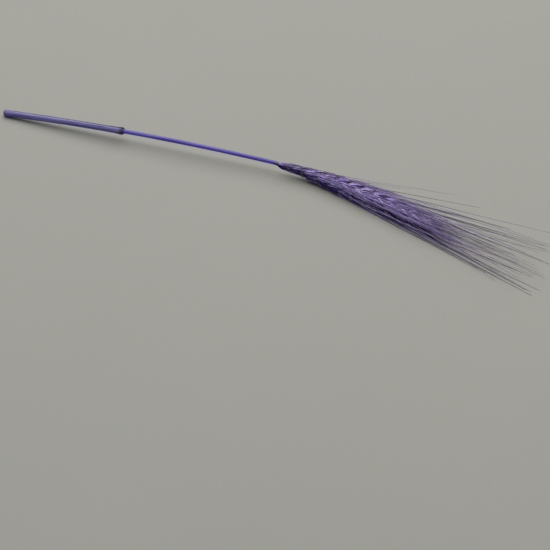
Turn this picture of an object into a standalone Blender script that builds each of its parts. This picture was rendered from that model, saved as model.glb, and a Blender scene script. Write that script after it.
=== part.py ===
"""A dyed, dried ear of bearded wheat on a cut length of straw, lying on a flat surface.

Three solids: the straw stem, the leaf sheath wrapped round its lower end, and the ear, whose rachis, husks
and awns grew as one head. Metres, +Z up. All of it follows one line, the spine, whose distance s is 0 at the
base of the ear, negative down the stem and positive towards the tip. +X runs from the cut end to the awns'
tips.
"""

import math

import bmesh
import bpy
from mathutils import Vector

MM = 0.001
UP = Vector((0.0, 0.0, 1.0))

# The spine: where it lies, how it bends within the ear, and how it rises and falls
EAR_BASE = Vector((-3.94, 16.13, 5.6)) * MM
STEM_LENGTH = 139 * MM
STEM_HEADING = math.radians(-5.0)
TIP_HEADING = math.radians(15.0)
CUT_HEIGHT = 1.72 * MM
STEM_BOW = 1.3 * MM
EAR_DROP = 2.9 * MM
DROP_REACH = 50 * MM
EAR_REACH = 85 * MM
SPINE_STEP = 0.5 * MM
GAP = 0.3 * MM
WELD = 1e-6
SHARP_ANGLE = math.radians(40.0)

# The dyed finishes
STRAW_COLOUR, STRAW_ROUGHNESS = (0.20, 0.16, 0.58), 0.4
SHEATH_COLOUR, SHEATH_ROUGHNESS = (0.24, 0.17, 0.42), 0.6
HUSK_COLOUR, HUSK_ROUGHNESS = (0.17, 0.11, 0.36), 0.7

# The stem and the bore of its cut end
STEM_RADIUS_CUT = 1.1 * MM
STEM_RADIUS_NECK = 0.95 * MM
STEM_SIDES = 12
STEM_RINGS = 15
BORE_RADIUS = 0.65 * MM
BORE_DEPTH = 7 * MM

# The leaf sheath: a tube split along one side, flared at its mouth
SHEATH_LENGTH = 62.3 * MM
SHEATH_GAP = 0.22 * MM
SHEATH_WALL = 0.26 * MM
SHEATH_FLARE = 0.14 * MM
FLARE_FROM = 0.72
COLLAR_SWELL = 0.16 * MM
SLIT_HALF_ANGLE = math.radians(14.0)
SLIT_TURN = math.radians(96.0)
SHEATH_ARC_POINTS = 12
COLLAR_FROM, COLLAR_TO = 0.93, 0.98
SHEATH_STATIONS = (0.0, 0.18, 0.36, 0.54, 0.72, 0.8, 0.88, 0.93, 0.965, 0.98, 1.0)

# The ear: its rachis and how the spikelets stand on it. The shares are of the rachis's length
NECK_TO, FULL_FROM, LEAN_FROM, FULL_TO = 0.45, 0.5, 0.6, 0.72
SPIKELETS = 24
RACHIS_LENGTH = 75 * MM
RACHIS_FROM = 1.5 * MM
RACHIS_PAST = 1.2 * MM
RACHIS_SIDES = 6
RACHIS_NECK_RADIUS = 0.76 * MM
RACHIS_RADIUS = 1.9 * MM
RACHIS_TIP_RADIUS = 0.5 * MM
RACHIS_ZIGZAG = 0.3 * MM
EAR_ROLL = math.radians(0.5)
EAR_TWIST = math.radians(8.0)
SPIKELET_LEAN = math.radians(20.0)
LEAN_AT_NECK = math.radians(2.0)
LEAN_AT_TIP = math.radians(11.0)
NECK_SIZE, TIP_SIZE = 0.33, 0.8
NECK_STRETCH = 1.9
ROOT_OUT = 0.25 * MM
ROOT_SIDE = 0.3 * MM
FLORET_UP = 0.9 * MM
INNER_UP = 2.6 * MM
INNER_LEAN = 0.05

# How much no two are alike, as shares of each size or angle
LEAN_VARIES, SIZE_VARIES, AWN_VARIES = 0.1, 0.04, 0.08
GLUME_SPREAD_VARIES, FLORET_SPREAD_VARIES = 0.15, 0.2

# Husk sizes in a full-grown spikelet: length, half width, half depth
GLUME = (8.8 * MM, 1.45 * MM, 1.0 * MM)
FLORET = (10.4 * MM, 1.45 * MM, 1.4 * MM)
INNER_FLORET = (8.8 * MM, 1.35 * MM, 1.2 * MM)
HUSK_FULLNESS = 0.75
HUSK_BOW = 0.05
GLUME_SPREAD = math.radians(15.0)
FLORET_SPREAD = math.radians(9.0)

# Which way a husk's keel faces: its share towards the braided face, and its share outwards
GLUME_KEEL = (0.8, 0.6)
FLORET_KEEL = (0.6, 0.8)

# A husk's cross-section, from its keel round by its edges: share of half width, share of half depth
FLORET_SECTION = ((0.0, 1.0), (0.75, 0.5), (1.0, -0.15), (0.0, -0.6), (-1.0, -0.15), (-0.75, 0.5))
GLUME_SECTION = ((0.0, 1.0), (0.95, 0.1), (0.6, -0.5), (-0.6, -0.5), (-0.95, 0.1))
FLORET_STATIONS = (0.14, 0.42, 0.78)
GLUME_STATIONS = (0.16, 0.44, 0.78)

# The awns. The two turns are how far they point to the ear's tip: on most spikelets, and at the neck
AWN_LENGTH = 84 * MM
AWN_BEND = 0.07
AWN_RADIUS = 0.32 * MM
AWN_TIP_RADIUS = 0.15 * MM
AWN_STATIONS = 6
AWN_SPREAD = (math.radians(-4.0), math.radians(11.0))
AWN_FAN = math.radians(5.5)
AWN_SWERVE = math.radians(42.0)
AWN_TURN, NECK_AWN_TURN = 0.3, 0.75
NECK_AWN, TIP_AWN = 0.6, 0.7
AWNLESS = 4
AWN_CLEARANCE = 0.05 * MM
AWN_LIFT = 0.8 * MM


def smooth(x):
    """0 below 0, 1 above 1, and an even S between them."""
    x = min(1.0, max(0.0, x))
    return x * x * (3.0 - 2.0 * x)


def mix(a, b, share):
    """The value that is share of the way from a to b."""
    return a + (b - a) * share


def vary(*key):
    """A repeatable number from -1 to 1 for this key, in place of a random draw."""
    total = sum(weight * part for weight, part in zip((12.9898, 78.233, 37.719), key))
    scattered = math.sin(total + 1.0) * 43758.5453
    return 2.0 * (scattered - math.floor(scattered)) - 1.0


def heading(s):
    """The spine's direction seen from above, in radians from +X towards -Y."""
    share = min(1.0, max(0.0, s / EAR_REACH))
    return mix(STEM_HEADING, TIP_HEADING, math.sin(share * math.pi / 2))


def height(s):
    """The spine's height: a low arch that rises from the cut end and runs on down through the ear."""
    share = (s + STEM_LENGTH) / STEM_LENGTH
    if share > 1.0:
        return EAR_BASE.z - EAR_DROP * math.sin(min(s / DROP_REACH, 1.0) * math.pi / 2)
    return mix(CUT_HEIGHT, EAR_BASE.z, math.sin(share * math.pi / 2)) + STEM_BOW * math.sin(share * math.pi)


def walk_spine():
    """The spine's points every SPINE_STEP from the cut end, by adding up short steps along its heading."""
    steps = round((STEM_LENGTH + EAR_REACH) / SPINE_STEP)
    at_base = round(STEM_LENGTH / SPINE_STEP)
    points = [Vector()]
    for step in range(steps):
        turn = heading((step + 0.5) * SPINE_STEP - STEM_LENGTH)
        points.append(points[-1] + Vector((math.cos(turn), -math.sin(turn), 0.0)) * SPINE_STEP)
    move = EAR_BASE - points[at_base]
    heights = [height(i * SPINE_STEP - STEM_LENGTH) for i in range(len(points))]
    return [Vector((p.x + move.x, p.y + move.y, z)) for p, z in zip(points, heights)]


SPINE = walk_spine()


def spine_point(s):
    """The spine's point at s, between the two nearest steps, or straight on past its ends."""
    place = (s + STEM_LENGTH) / SPINE_STEP
    low = min(max(int(place), 0), len(SPINE) - 2)
    return SPINE[low].lerp(SPINE[low + 1], place - low)


def spine_frame(s):
    """The spine's direction, its side towards -Y, and its upper side."""
    ahead = (spine_point(s + SPINE_STEP) - spine_point(s - SPINE_STEP)).normalized()
    side = ahead.cross(UP).normalized()
    return ahead, side, side.cross(ahead)


def ear_frame(s):
    """In the ear: the spine's direction, the way its first row of spikelets faces, and its braided face."""
    ahead, side, upper = spine_frame(s)
    roll = EAR_ROLL + EAR_TWIST * (s / RACHIS_LENGTH - 0.5)
    row = side * math.cos(roll) - upper * math.sin(roll)
    face = upper * math.cos(roll) + side * math.sin(roll)
    return ahead, row, face


def skin(rings):
    """A closed bmesh through rings of points, bridged one to the next. A ring of one point is a pole."""
    mesh = bmesh.new()
    loops = [[mesh.verts.new(point) for point in ring] for ring in rings]
    for first, second in zip(loops, loops[1:]):
        bridge(mesh, first, second)
    for loop in (loops[0], loops[-1]):
        if len(loop) > 2:
            mesh.faces.new(loop)
    bmesh.ops.recalc_face_normals(mesh, faces=mesh.faces)
    bmesh.ops.triangulate(mesh, faces=mesh.faces)
    return mesh


def bridge(mesh, first, second):
    """Faces between two rings. One may be a pole, or have half as many points, bridged two to one."""
    if len(first) < len(second):
        first, second = second, first
    count = len(first)
    for i in range(count):
        a, b = first[i], first[(i + 1) % count]
        if len(second) == 1:
            mesh.faces.new((a, b, second[0]))
        elif len(second) == count:
            mesh.faces.new((a, b, second[(i + 1) % count], second[i]))
        else:
            c, d = second[i // 2], second[(i // 2 + 1) % len(second)]
            mesh.faces.new((a, b, c))
            if i % 2:
                mesh.faces.new((b, d, c))


def add_object(name, mesh, collection=None):
    """A smooth-shaded object from a bmesh."""
    data = bpy.data.meshes.new(name)
    mesh.to_mesh(data)
    mesh.free()
    data.shade_smooth()
    data.set_sharp_from_angle(angle=SHARP_ANGLE)
    made = bpy.data.objects.new(name, data)
    (collection or bpy.context.scene.collection).objects.link(made)
    return made


def dress(made, name, colour, roughness):
    """Gives an object its own material."""
    material = bpy.data.materials.new(name)
    material.use_nodes = True
    shader = material.node_tree.nodes["Principled BSDF"]
    shader.inputs["Base Color"].default_value = (*colour, 1.0)
    shader.inputs["Roughness"].default_value = roughness
    shader.inputs["Metallic"].default_value = 0.0
    made.data.materials.append(material)


def circle(centre, side, upper, radius, count):
    """Points evenly round a circle in the plane of side and upper."""
    turns = [2 * math.pi * (i + 0.5) / count for i in range(count)]
    return [centre + side * (radius * math.cos(t)) + upper * (radius * math.sin(t)) for t in turns]


def stem_radius(s):
    """The straw tapers evenly from its cut end to the neck."""
    return mix(STEM_RADIUS_CUT, STEM_RADIUS_NECK, (s + STEM_LENGTH) / STEM_LENGTH)


def make_stem():
    """The straw: rings from the neck of the ear down to the cut, then up inside its short bore."""
    rings = []
    for i in range(STEM_RINGS):
        s = mix(-GAP, -STEM_LENGTH, i / (STEM_RINGS - 1))
        _, side, upper = spine_frame(s)
        rings.append(circle(spine_point(s), side, upper, stem_radius(s), STEM_SIDES))
    for s in (-STEM_LENGTH, BORE_DEPTH - STEM_LENGTH):
        _, side, upper = spine_frame(s)
        rings.append(circle(spine_point(s), side, upper, BORE_RADIUS, STEM_SIDES))
    made = add_object("stem", skin(rings))
    dress(made, "straw", STRAW_COLOUR, STRAW_ROUGHNESS)


def sheath_section(s, share):
    """One closed outline of the split tube: its outer arc, then back along its inner arc."""
    _, side, upper = spine_frame(s)
    centre = spine_point(s)
    flare = SHEATH_FLARE * smooth((share - FLARE_FROM) / (1.0 - FLARE_FROM))
    inner = stem_radius(s) + SHEATH_GAP + flare
    outer = inner + SHEATH_WALL + COLLAR_SWELL * smooth((share - COLLAR_FROM) / (COLLAR_TO - COLLAR_FROM))
    points = []
    for radius, backwards in ((outer, False), (inner, True)):
        for i in range(SHEATH_ARC_POINTS):
            along = i / (SHEATH_ARC_POINTS - 1)
            sweep = mix(SLIT_HALF_ANGLE, 2 * math.pi - SLIT_HALF_ANGLE, 1.0 - along if backwards else along)
            turn = SLIT_TURN + sweep
            points.append(centre + side * (radius * math.cos(turn)) + upper * (radius * math.sin(turn)))
    return points


def make_leaf_sheath():
    """The split tube from the cut end to its flared, swollen mouth."""
    rings = [sheath_section(SHEATH_LENGTH * share - STEM_LENGTH + GAP, share) for share in SHEATH_STATIONS]
    made = add_object("leaf_sheath", skin(rings))
    dress(made, "sheath", SHEATH_COLOUR, SHEATH_ROUGHNESS)


def husk_swell(t):
    """A husk's share of its full width at t of its length: an ovate outline, fullest at two fifths."""
    return math.sin(math.pi * t ** HUSK_FULLNESS) ** HUSK_FULLNESS


def husk_rings(root, along, back, size, scale, section=GLUME_SECTION, stations=GLUME_STATIONS):
    """Rings of a boat-shaped husk, its keel towards back, bowed outwards in the middle of its length."""
    stretch = mix(NECK_STRETCH, 1.0, smooth((scale - NECK_SIZE) / (1.0 - NECK_SIZE)))
    length, half_width, half_depth = size[0] * scale * stretch, size[1] * scale, size[2] * scale
    back = (back - along * back.dot(along)).normalized()
    across = along.cross(back)
    rings = [[root]]
    for t in stations:
        centre = root + along * (length * t) + back * (HUSK_BOW * length * math.sin(math.pi * t))
        swell = husk_swell(t)
        rings.append([
            centre + across * (half_width * swell * u) + back * (half_depth * swell * v) for u, v in section
        ])
    return rings + [[root + along * length]], across, back


def awn_path(start, along, centre, ahead, length, key):
    """An awn's points: it leaves with its husk's lean and swings nearly parallel to the ear, off the floor.

    The awns on the +Y side fan out a little more.
    """
    outwards = start - centre
    outwards = (outwards - ahead * outwards.dot(ahead)).normalized()
    swerve = AWN_SWERVE * vary(*key, 1)
    outwards = outwards * math.cos(swerve) + ahead.cross(outwards) * math.sin(swerve)
    spread = mix(*AWN_SPREAD, 0.5 + 0.5 * vary(*key, 2)) + AWN_FAN * max(outwards.y, 0.0)
    middle = start + along * (AWN_BEND * length)
    end = start + (ahead + outwards * math.tan(spread)).normalized() * length
    points = []
    for i in range(AWN_STATIONS + 1):
        t = i / AWN_STATIONS
        point = start * (1 - t) ** 2 + middle * (2 * t * (1 - t)) + end * t ** 2
        floor = mix(AWN_RADIUS, AWN_TIP_RADIUS, t) + AWN_CLEARANCE
        over = point.z - floor
        point.z = floor + (over + math.sqrt(over * over + (AWN_LIFT * t) ** 2)) / 2
        points.append(point)
    return points


def awn_rings(points, across, back, scale):
    """Three-sided rings along an awn, the first turned to meet its husk, ending in a point."""
    rings = []
    for i, point in enumerate(points[:-1]):
        radius = mix(AWN_RADIUS * scale ** 0.5, AWN_TIP_RADIUS, i / (len(points) - 1))
        corners = [math.radians(60 + 120 * k) for k in range(3)]
        rings.append([point + across * (radius * math.sin(c)) + back * (radius * math.cos(c)) for c in corners])
    return rings + [[points[-1]]]


def spikelet_size(i):
    """How full-grown the spikelet is: small at the neck, full in the upper half, a little less at the tip."""
    share = i / (SPIKELETS - 1)
    grown = mix(NECK_SIZE, 1.0, smooth(share / FULL_FROM))
    return grown * mix(1.0, TIP_SIZE, smooth((share - FULL_TO) / (1.0 - FULL_TO)))


def node_place(i):
    """The distance along the spine of the rachis's node i, where its spikelet stands."""
    return mix(RACHIS_FROM, RACHIS_LENGTH, i / (SPIKELETS - 1))


def awn_length(i, b):
    """Awns are shorter on the lowest and the topmost spikelets, and no two are quite alike."""
    share = i / (SPIKELETS - 1)
    low = mix(NECK_AWN, 1.0, smooth(share / FULL_FROM))
    high = mix(1.0, TIP_AWN, smooth((share - LEAN_FROM) / (1.0 - LEAN_FROM)))
    return AWN_LENGTH * low * high * (1 + AWN_VARIES * vary(i, b, 4))


def spikelet(i):
    """The husks of one spikelet, as lists of rings: two glumes, two awned florets and one inner floret."""
    share = i / (SPIKELETS - 1)
    ahead, row, face = ear_frame(node_place(i))
    turn = mix(NECK_AWN_TURN, AWN_TURN, smooth(share / NECK_TO))
    tipwards = ahead.lerp(ear_frame(RACHIS_LENGTH)[0], turn).normalized()
    terminal = i == SPIKELETS - 1
    outwards = face if terminal else row * (1 if i % 2 == 0 else -1)
    edgeways = row if terminal else face
    lean = mix(LEAN_AT_NECK, SPIKELET_LEAN, smooth(share / NECK_TO)) * (1 + LEAN_VARIES * vary(i, 0, 0))
    lean = 0.0 if terminal else mix(lean, LEAN_AT_TIP, smooth((share - LEAN_FROM) / (1.0 - LEAN_FROM)))
    scale = spikelet_size(i) * (1 + SIZE_VARIES * vary(i, 0, 1))
    up = ahead * math.cos(lean) + outwards * math.sin(lean)
    out = outwards * math.cos(lean) - ahead * math.sin(lean)
    centre = spine_point(node_place(i))
    root = centre + outwards * ROOT_OUT
    bodies = []
    for b in (1, -1):
        spread = GLUME_SPREAD * (1 + GLUME_SPREAD_VARIES * vary(i, b, 2))
        along = up * math.cos(spread) + edgeways * (b * math.sin(spread))
        keel = edgeways * (GLUME_KEEL[0] * b) + out * GLUME_KEEL[1]
        bodies.append(husk_rings(root + edgeways * (b * ROOT_SIDE), along, keel, GLUME, scale)[0])
    for b in (1, -1):
        spread = FLORET_SPREAD * (1 + FLORET_SPREAD_VARIES * vary(i, b, 3))
        along = up * math.cos(spread) + edgeways * (b * math.sin(spread))
        base = root + up * (FLORET_UP * scale) + edgeways * (b * ROOT_SIDE) + out * ROOT_OUT
        keel = edgeways * (FLORET_KEEL[0] * b) + out * FLORET_KEEL[1]
        rings, across, back = husk_rings(base, along, keel, FLORET, scale, FLORET_SECTION, FLORET_STATIONS)
        if i >= AWNLESS:
            path = awn_path(rings.pop()[0], along, centre, tipwards, awn_length(i, b), (i, b))
            rings += awn_rings(path, across, back, scale)
        bodies.append(rings)
    base = root + up * (INNER_UP * scale) + out * ROOT_OUT
    bodies.append(husk_rings(base, (up + out * INNER_LEAN).normalized(), out, INNER_FLORET, scale)[0])
    return bodies


def rachis_rings():
    """The zigzag axis of the ear: round where it meets the stem, fuller among the husks, slim at the tip."""
    _, row, face = ear_frame(0.0)
    rings = [circle(spine_point(0.0), row, face, STEM_RADIUS_NECK, RACHIS_SIDES)]
    for i in range(SPIKELETS):
        _, row, face = ear_frame(node_place(i))
        fullness = smooth((spikelet_size(i) - NECK_SIZE) / (1.0 - NECK_SIZE))
        centre = spine_point(node_place(i)) + row * (RACHIS_ZIGZAG * (1 if i % 2 == 0 else -1))
        radius = mix(RACHIS_NECK_RADIUS, RACHIS_RADIUS, fullness)
        rings.append(circle(centre, row, face, radius, RACHIS_SIDES))
    end = RACHIS_LENGTH + RACHIS_PAST
    return rings + [circle(spine_point(end), row, face, RACHIS_TIP_RADIUS, RACHIS_SIDES)]


def settle(data):
    """Drops the loose scraps and sealed hollows that a union leaves, then cuts the body flat where it lies."""
    mesh = bmesh.new()
    mesh.from_mesh(data)
    unseen = set(mesh.verts)
    groups = []
    while unseen:
        front = {unseen.pop()}
        group = set(front)
        while front:
            front = {edge.other_vert(v) for v in front for edge in v.link_edges} & unseen
            unseen -= front
            group |= front
        groups.append(group)
    main = max(groups, key=len)
    bmesh.ops.delete(mesh, geom=[v for v in mesh.verts if v not in main], context="VERTS")
    everything = [*mesh.verts, *mesh.edges, *mesh.faces]
    cut = bmesh.ops.bisect_plane(mesh, geom=everything, dist=WELD, plane_no=-UP, clear_outer=True)
    rim = [part for part in cut["geom_cut"] if isinstance(part, bmesh.types.BMEdge)]
    bmesh.ops.edgenet_fill(mesh, edges=rim)
    bmesh.ops.triangulate(mesh, faces=mesh.faces)
    mesh.to_mesh(data)
    mesh.free()


def join_all(name, bodies):
    """One object that is the union of many closed bodies: a Boolean on a collection, applied."""
    parts = bpy.data.collections.new(name + "_parts")
    bpy.context.scene.collection.children.link(parts)
    for rings in bodies[1:]:
        add_object(name + "_part", skin(rings), parts)
    whole = add_object(name, skin(bodies[0]))
    union = whole.modifiers.new("union", "BOOLEAN")
    union.operation = "UNION"
    union.operand_type = "COLLECTION"
    union.collection = parts
    union.solver = "EXACT"
    bpy.context.view_layer.update()
    joined = bpy.data.meshes.new_from_object(whole.evaluated_get(bpy.context.evaluated_depsgraph_get()))
    whole.modifiers.clear()
    whole.data = joined
    settle(whole.data)
    for piece in list(parts.objects):
        bpy.data.objects.remove(piece)
    bpy.data.collections.remove(parts)
    return whole


def make_ear():
    """The head: its rachis and every spikelet, joined."""
    bodies = [rachis_rings()]
    for i in range(SPIKELETS):
        bodies += spikelet(i)
    made = join_all("ear", bodies)
    dress(made, "husk", HUSK_COLOUR, HUSK_ROUGHNESS)
    return made


def main():
    for old in list(bpy.data.objects):
        bpy.data.objects.remove(old)
    make_stem()
    make_leaf_sheath()
    make_ear()


main()
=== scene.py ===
"""The looks of a dyed, dried ear of bearded wheat on its cut straw, lying on a pale surface.

Every piece is a surface worked out with numpy along one line, the spine, whose distance s is 0 at the base of
the ear, negative down the straw and positive towards the tip. Lengths are in metres, and MM turns millimetres
into them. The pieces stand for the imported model's plain solids and keep their places and forms.
"""

import logging
from dataclasses import dataclass
from enum import Enum

import bpy
import numpy as np
from mathutils import Matrix


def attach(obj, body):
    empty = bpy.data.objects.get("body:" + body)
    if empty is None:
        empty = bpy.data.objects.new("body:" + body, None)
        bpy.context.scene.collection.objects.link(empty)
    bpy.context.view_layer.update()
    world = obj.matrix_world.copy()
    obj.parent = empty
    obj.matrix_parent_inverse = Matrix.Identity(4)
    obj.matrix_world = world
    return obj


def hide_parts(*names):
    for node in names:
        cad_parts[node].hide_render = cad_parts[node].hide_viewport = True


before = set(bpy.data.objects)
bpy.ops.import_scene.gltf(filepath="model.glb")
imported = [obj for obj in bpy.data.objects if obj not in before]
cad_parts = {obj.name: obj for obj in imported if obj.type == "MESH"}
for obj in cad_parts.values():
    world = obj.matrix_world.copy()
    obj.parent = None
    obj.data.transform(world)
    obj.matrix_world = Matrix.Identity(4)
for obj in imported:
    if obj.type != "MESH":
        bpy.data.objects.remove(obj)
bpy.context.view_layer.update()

Array = np.ndarray
Colour = tuple[float, float, float]

MM = 0.001
UP = np.array([0.0, 0.0, 1.0])
AHEAD = np.array([1.0, 0.0, 0.0])
FULL_TURN = 2.0 * np.pi
BODY = "root"
FLOOR_CLEARANCE = 0.02 * MM
LOG = logging.getLogger("wheat_ear")

# How a key is scattered: the weight of each of its parts, and how large its sine is made
KEY_WEIGHTS = (12.9898, 78.233, 37.719)
KEY_GROWTH = 43758.5453

# The three waves of a wander: how high each is, how fast it swings and how fast the key moves it
WAVES = ((1.0, 1.0, 2.1), (0.6, 2.37, 5.3), (0.4, 4.13, 1.7))

# How upright a spike may be before its foot is turned about +X and no longer about +Z
STEEP = 0.9

# Among a Mix node's sockets, those for its two colours and the one for the result
MIX_COLOURS = (6, 7)
MIX_RESULT = 2
NOISE_ROUGHNESS = 0.6


class Slot(Enum):
    """The record's material slots."""

    STRAW = "straw"
    SHEATH = "sheath"
    HUSK = "husk"
    AWN = "awn"


class Ends(Enum):
    """How the two ends of a tube are closed."""

    POLES = "a fan of triangles to one point"
    LIPS = "a strip of quads between the outer and the inner half of the ring"


def smooth(x: Array | float) -> Array:
    """0 below 0, 1 above 1, and the even S of 3x^2 - 2x^3 between them."""
    x = np.clip(x, 0.0, 1.0)
    return x * x * (3.0 - 2.0 * x)


def mix(a: Array | float, b: Array | float, share: Array | float) -> Array | float:
    """The value that is share of the way from a to b."""
    return a + (b - a) * share


def unit(v: Array) -> Array:
    """Each vector over its own length."""
    return v / np.linalg.norm(v, axis=-1, keepdims=True)


def dot(a: Array, b: Array) -> Array:
    """The products of vector pairs, kept as columns so that they scale vectors."""
    return np.sum(a * b, axis=-1, keepdims=True)


def col(values: Array) -> Array:
    """Numbers as columns, one for each vector."""
    return np.asarray(values, float)[..., None]


def vary(a: Array | float, b: Array | float = 0.0, c: Array | float = 0.0) -> Array:
    """A repeatable number from -1 to 1 for each key, in place of a random draw.

    The sine of a weighted sum of the key's parts is made very large, and only what follows its point is kept.

    Args:
        a: the key's first part, such as the number of a spikelet.
        b: its second part, such as -1 or 1 for its side.
        c: its third part, which keeps one use apart from another.

    Returns:
        Numbers evenly spread from -1 to 1, of the key's shape.
    """
    total = sum(weight * np.asarray(part, float) for weight, part in zip(KEY_WEIGHTS, (a, b, c)))
    scattered = np.sin(total + 1.0) * KEY_GROWTH
    return 2.0 * (scattered - np.floor(scattered)) - 1.0


def wander(x: Array, key: Array | float) -> Array:
    """A smooth, repeatable wander from about -1 to 1: the sum of three sines of unrelated lengths.

    Args:
        x: where along the wander, with one slow swing for each 2 pi.
        key: sets the phases, so that no two copies wander alike.

    Returns:
        The wander at x.
    """
    return sum(height * np.sin(rate * x + phase * key) for height, rate, phase in WAVES) / 2.0


def stacked(*parts: Array | float) -> Array:
    """Numbers side by side as vectors, each spread to the shape that they share."""
    return np.stack(np.broadcast_arrays(*parts), -1)


def full_circle(count: int) -> Array:
    """Angles evenly round a full turn."""
    return FULL_TURN * np.arange(count) / count


def own_number(key: Array) -> Array:
    """A number that is each copy's own, from the two parts of its key."""
    return key[..., 0] * 3.0 + key[..., 1]


def there_and_back(there: Array, back: Array) -> Array:
    """A wall's ring: its values along the outside, then along the inside the other way."""
    return np.concatenate([there, back[:, ::-1]], axis=1)


def above_floor(points: Array, least: float = FLOOR_CLEARANCE) -> Array:
    """Points whose height is at least so much: the greater of it and their own."""
    return np.concatenate([points[..., :2], np.maximum(points[..., 2:], least)], axis=-1)


def ringed(line: Array, first: Array, second: Array, x: Array, y: Array) -> Array:
    """Rings round a line: each of its points, plus x along the first way across it and y along the second.

    Args:
        line: the line's points, of shape (..., 3).
        first: one way across it at each point, likewise.
        second: the other way, likewise.
        x: how far along the first way, of shape (..., around).
        y: how far along the second way, likewise.

    Returns:
        The rings, of shape (..., around, 3).
    """
    line, first, second = (part[..., None, :] for part in (line, first, second))
    return line + (col(x) * first + col(y) * second)


class Skin:
    """The mesh of one piece, gathered from closed tubes and spikes.

    Each vertex carries its grain, a place on the straightened piece in millimetres, which the finishes' fibres
    follow, and its marks: share of the length from the root; tint_and_painted_light, the tone of the copy, which
    on husks and wisps also holds painted light and shade by which way they face; and wear_and_groove_shade, which
    is 1 at a worn margin and -1 at the bottom of a groove between two veins, where shade is painted.
    """

    def __init__(self) -> None:
        """Starts with nothing."""
        self.points: list[Array] = []
        self.grain: list[Array] = []
        self.marks: list[Array] = []
        self.quads: list[Array] = []
        self.triangles: list[Array] = []
        self.count = 0

    def add(self, points: Array, grain: Array, marks: Array) -> Array:
        """Adds vertices.

        Args:
            points: places, of shape (..., 3).
            grain: places on the straightened piece in millimetres, of the same shape or one that spreads to it.
            marks: the three marks, likewise.

        Returns:
            The numbers of the new vertices, of the shape of points without its last axis.
        """
        shape = points.shape
        for store, values in ((self.points, points), (self.grain, grain), (self.marks, marks)):
            store.append(np.broadcast_to(values, shape).reshape(-1, 3))
        numbers = self.count + np.arange(points.size // 3).reshape(shape[:-1])
        self.count += numbers.size
        return numbers

    def tubes(self, lattice: Array, grain: Array, marks: Array, ends: Ends = Ends.POLES) -> None:
        """Adds one closed tube for each copy in a lattice, with quads between neighbouring rings.

        Args:
            lattice: points of shape (copies, rings, around, 3), each ring right-handed about the way they go.
            grain: the grain, of the same shape or one that spreads to it.
            marks: the marks, likewise.
            ends: how both ends are closed.
        """
        grain, marks = (np.broadcast_to(part, lattice.shape) for part in (grain, marks))
        ring = self.add(lattice, grain, marks)
        after = np.roll(ring, -1, axis=2)
        self.quads.append(np.stack([ring[:, :-1], after[:, :-1], after[:, 1:], ring[:, 1:]], -1).reshape(-1, 4))
        if ends is Ends.LIPS:
            half = lattice.shape[2] // 2
            outer, inner = ring[:, [0, -1], :half], ring[:, [0, -1], half:][..., ::-1]
            lips = np.stack([outer[..., 1:], outer[..., :-1], inner[..., :-1], inner[..., 1:]], -1)
            self.quads.append(lips[:, 0].reshape(-1, 4))
            self.quads.append(lips[:, 1, :, ::-1].reshape(-1, 4))
            return
        for row, order in ((0, (0, 2, 1)), (-1, (0, 1, 2))):
            poles = self.add(*(values[:, row].mean(axis=1) for values in (lattice, grain, marks)))
            pole = np.broadcast_to(poles[:, None], ring[:, row].shape)
            fan = np.stack([pole, ring[:, row], after[:, row]], -1)[..., list(order)]
            self.triangles.append(fan.reshape(-1, 3))

    def spikes(self, base: Array, tip: Array, radius: Array | float, grain: Array, marks: Array) -> None:
        """Adds slim three-sided spikes, such as hairs and barbs, each of four triangles and above the floor.

        Args:
            base: the middles of their feet, of shape (..., 3).
            tip: their tips, likewise.
            radius: the radius of each foot, of shape (...) or one that spreads to it.
            grain: the grain at each foot, of the shape of base or one that spreads to it.
            marks: the marks of each spike, likewise.
        """
        shape = base.shape
        radius = np.broadcast_to(radius, shape[:-1]).ravel()
        parts = (base, above_floor(tip), grain, marks)
        base, tip, grain, marks = (np.broadcast_to(part, shape).reshape(-1, 3) for part in parts)
        ahead = unit(tip - base)
        side = unit(np.cross(ahead, np.where(np.abs(ahead[:, 2:]) > STEEP, AHEAD, UP)))
        other = np.cross(ahead, side)
        turn = full_circle(3)[:, None]
        across = side[:, None] * np.cos(turn) + other[:, None] * np.sin(turn)
        foot = base[:, None] + radius[:, None, None] * across
        corners = np.concatenate([foot, tip[:, None]], axis=1)
        rise = np.zeros(corners.shape)
        rise[:, 3, 0] = np.linalg.norm(tip - base, axis=1) / MM
        number = self.add(corners, grain[:, None] + rise, marks[:, None])
        for face in ((0, 1, 3), (1, 2, 3), (2, 0, 3), (2, 1, 0)):
            self.triangles.append(number[:, list(face)])

    def make(self, name: str, sharp: float) -> bpy.types.Object:
        """Hands the gathered mesh to Blender.

        Args:
            name: the piece's name.
            sharp: the angle in radians past which an edge is shaded sharp.

        Returns:
            The new object, at the origin.
        """
        quads = np.concatenate(self.quads) if self.quads else np.zeros((0, 4), int)
        triangles = np.concatenate(self.triangles) if self.triangles else np.zeros((0, 3), int)
        corners = np.concatenate([quads.ravel(), triangles.ravel()])
        starts = np.concatenate([4 * np.arange(len(quads)), quads.size + 3 * np.arange(len(triangles))])
        mesh = bpy.data.meshes.new(name)
        mesh.vertices.add(self.count)
        mesh.vertices.foreach_set("co", np.concatenate(self.points).ravel())
        mesh.loops.add(len(corners))
        mesh.loops.foreach_set("vertex_index", corners)
        mesh.polygons.add(len(starts))
        mesh.polygons.foreach_set("loop_start", starts)
        mesh.update(calc_edges=True)
        mesh.validate()
        grain = mesh.attributes.new("grain", "FLOAT_VECTOR", "POINT")
        grain.data.foreach_set("vector", np.concatenate(self.grain).ravel())
        marks = mesh.attributes.new("marks", "FLOAT_COLOR", "POINT")
        rows = np.concatenate(self.marks)
        marks.data.foreach_set("color", np.hstack([rows, np.ones((len(rows), 1))]).ravel())
        mesh.shade_smooth()
        mesh.set_sharp_from_angle(angle=sharp)
        made = bpy.data.objects.new(name, mesh)
        bpy.context.scene.collection.objects.link(made)
        return made


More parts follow.
